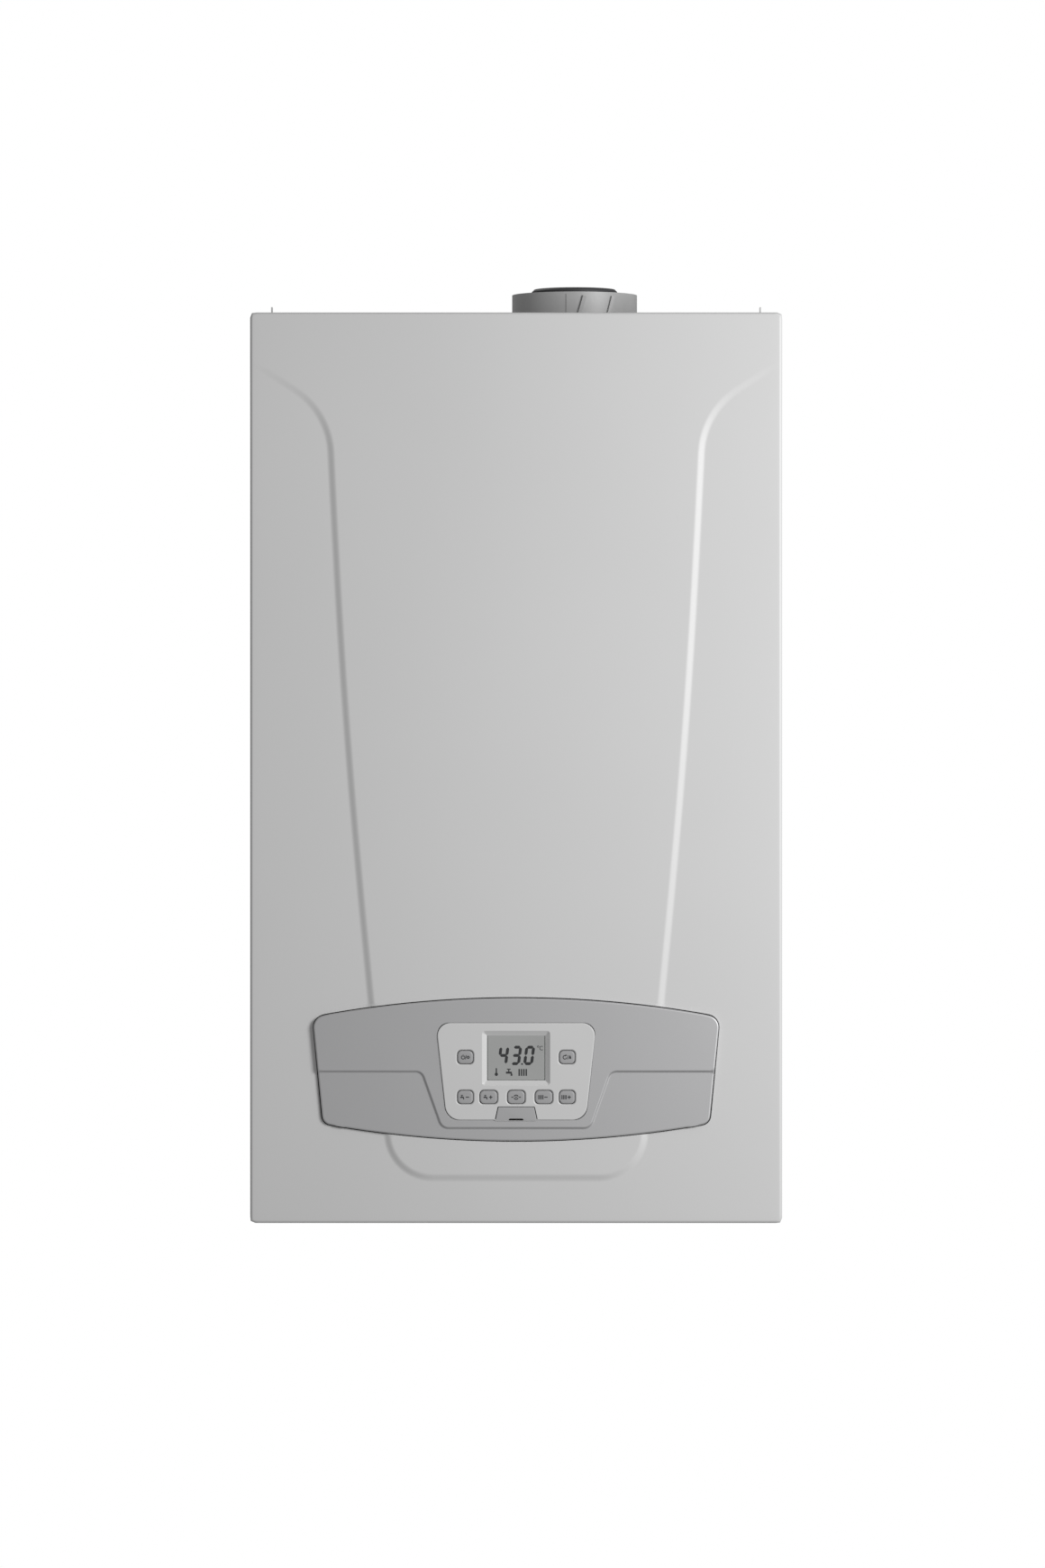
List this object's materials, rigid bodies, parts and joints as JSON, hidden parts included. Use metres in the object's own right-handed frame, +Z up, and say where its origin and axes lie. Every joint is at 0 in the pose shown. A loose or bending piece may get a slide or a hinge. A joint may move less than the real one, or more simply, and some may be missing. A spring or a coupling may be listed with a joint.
{
  "type": "condensing boiler",
  "caption": "Wall-hung condensing boiler: white steel casing with raised shield, tilting grey console with display and buttons, pull-off front cover and concentric flue collar.",
  "frame": {"origin": "midway between the two hanging slots, on the outer face of the back panel", "axes": "+Z up, +X to the right seen from the front, +Y into the wall; the front faces -Y"},
  "size_m": [0.45, 0.3496, 0.802],
  "materials": {
    "casing_paint": "white powder coat",
    "zinc_steel": "galvanised sheet",
    "seal_rubber": "soft black rubber",
    "collar_alloy": "cast, matt",
    "duct_plastic": "grey plastic",
    "stainless": "stainless steel",
    "cast_alloy": "die cast",
    "brass": "machined brass",
    "copper": "drawn copper pipe",
    "ceramic": "white ceramic",
    "black_plastic": "black moulding",
    "grey_plastic": "grey moulding",
    "light_plastic": "light grey moulding",
    "button_plastic": "soft grey moulding",
    "board_green": "circuit board",
    "display_glass": "clear window",
    "red_paint": "red paint",
    "red_plastic": "red moulding"
  },
  "bodies": {
    "chassis": {"back_panel": "zinc_steel", "left_side_panel": "casing_paint", "right_side_panel": "casing_paint", "top_panel": "casing_paint", "base_tray": "zinc_steel", "cover_seal": "seal_rubber", "cover_guides": "zinc_steel", "frame_screws": "zinc_steel", "flue_adaptor": "collar_alloy", "flue_seal": "seal_rubber", "flue_duct": "duct_plastic", "heat_exchanger_shell": "stainless", "heat_exchanger_coil": "stainless", "burner_door": "cast_alloy", "burner": "stainless", "door_nuts": "brass", "electrodes": "ceramic", "ignition_lead": "black_plastic", "spark_generator": "black_plastic", "fan_housing": "cast_alloy", "fan_motor": "black_plastic", "venturi": "black_plastic", "mixer_duct": "cast_alloy", "gas_valve": "cast_alloy", "gas_pipes": "copper", "condensate_hose": "grey_plastic", "condensate_trap": "grey_plastic", "pump_housing": "black_plastic", "pump_motor": "red_paint", "air_vent": "brass", "flow_pipe": "copper", "return_pipe": "copper", "flow_block": "brass", "return_block": "brass", "diverter_motor": "black_plastic", "plate_heat_exchanger": "stainless", "relief_valve": "brass", "expansion_vessel": "red_paint", "expansion_pipe": "copper", "connection_tails": "brass", "control_box": "black_plastic", "main_board": "board_green"},
    "cover": {"front_cover": "casing_paint"},
    "console": {"console_fascia": "grey_plastic", "display_bezel": "light_plastic", "display_lens": "display_glass", "display_board": "board_green"},
    "flap": {"service_flap": "grey_plastic"},
    "fan_rotor": {"fan_impeller": "cast_alloy"},
    "pump_rotor": {"pump_impeller": "stainless"},
    "diverter": {"diverter_stem": "stainless"},
    "relief": {"relief_knob": "red_plastic"},
    "cup": {"trap_cup": "light_plastic"},
    "button_power": {"button_power": "button_plastic"},
    "button_reset": {"button_reset": "button_plastic"},
    "button_tap_minus": {"button_tap_minus": "button_plastic"},
    "button_tap_plus": {"button_tap_plus": "button_plastic"},
    "button_auto": {"button_auto": "button_plastic"},
    "button_radiator_minus": {"button_radiator_minus": "button_plastic"},
    "button_radiator_plus": {"button_radiator_plus": "button_plastic"}
  },
  "joints": [
    {"name": "cover_pull", "type": "slide", "parent": "chassis", "child": "cover", "axis": [0, -1, 0], "range_m": [0, 0.3]},
    {"name": "console_tilt", "type": "hinge", "parent": "chassis", "child": "console", "pos_m": [0, -0.3415, -0.634], "axis": [1, 0, 0], "range_deg": [0, 90]},
    {"name": "flap_lift", "type": "hinge", "parent": "console", "child": "flap", "pos_m": [0, -0.3479, -0.6328], "axis": [-1, 0, 0], "range_deg": [0, 95]},
    {"name": "fan_spin", "type": "hinge", "parent": "chassis", "child": "fan_rotor", "pos_m": [-0.095, -0.28, -0.415], "axis": [0, 1, 0], "continuous": true},
    {"name": "pump_spin", "type": "hinge", "parent": "chassis", "child": "pump_rotor", "pos_m": [0.13, -0.125, -0.55], "axis": [0, 1, 0], "continuous": true},
    {"name": "diverter_lift", "type": "slide", "parent": "chassis", "child": "diverter", "axis": [0, 0, 1], "range_m": [0, 0.006]},
    {"name": "relief_turn", "type": "hinge", "parent": "chassis", "child": "relief", "pos_m": [0.185, -0.119, -0.64], "axis": [0, -1, 0], "range_deg": [0, 90]},
    {"name": "cup_drop", "type": "slide", "parent": "chassis", "child": "cup", "axis": [0, 0, -1], "range_m": [0, 0.05]},
    {"name": "button_power_push", "type": "slide", "parent": "console", "child": "button_power", "axis": [0, 1, 0], "range_m": [0, 0.0008], "stiffness_N_per_m": 800, "springref_m": -0.0006},
    {"name": "button_reset_push", "type": "slide", "parent": "console", "child": "button_reset", "axis": [0, 1, 0], "range_m": [0, 0.0008], "stiffness_N_per_m": 800, "springref_m": -0.0006},
    {"name": "button_tap_minus_push", "type": "slide", "parent": "console", "child": "button_tap_minus", "axis": [0, 1, 0], "range_m": [0, 0.0008], "stiffness_N_per_m": 800, "springref_m": -0.0006},
    {"name": "button_tap_plus_push", "type": "slide", "parent": "console", "child": "button_tap_plus", "axis": [0, 1, 0], "range_m": [0, 0.0008], "stiffness_N_per_m": 800, "springref_m": -0.0006},
    {"name": "button_auto_push", "type": "slide", "parent": "console", "child": "button_auto", "axis": [0, 1, 0], "range_m": [0, 0.0008], "stiffness_N_per_m": 800, "springref_m": -0.0006},
    {"name": "button_radiator_minus_push", "type": "slide", "parent": "console", "child": "button_radiator_minus", "axis": [0, 1, 0], "range_m": [0, 0.0008], "stiffness_N_per_m": 800, "springref_m": -0.0006},
    {"name": "button_radiator_plus_push", "type": "slide", "parent": "console", "child": "button_radiator_plus", "axis": [0, 1, 0], "range_m": [0, 0.0008], "stiffness_N_per_m": 800, "springref_m": -0.0006}
  ]
}
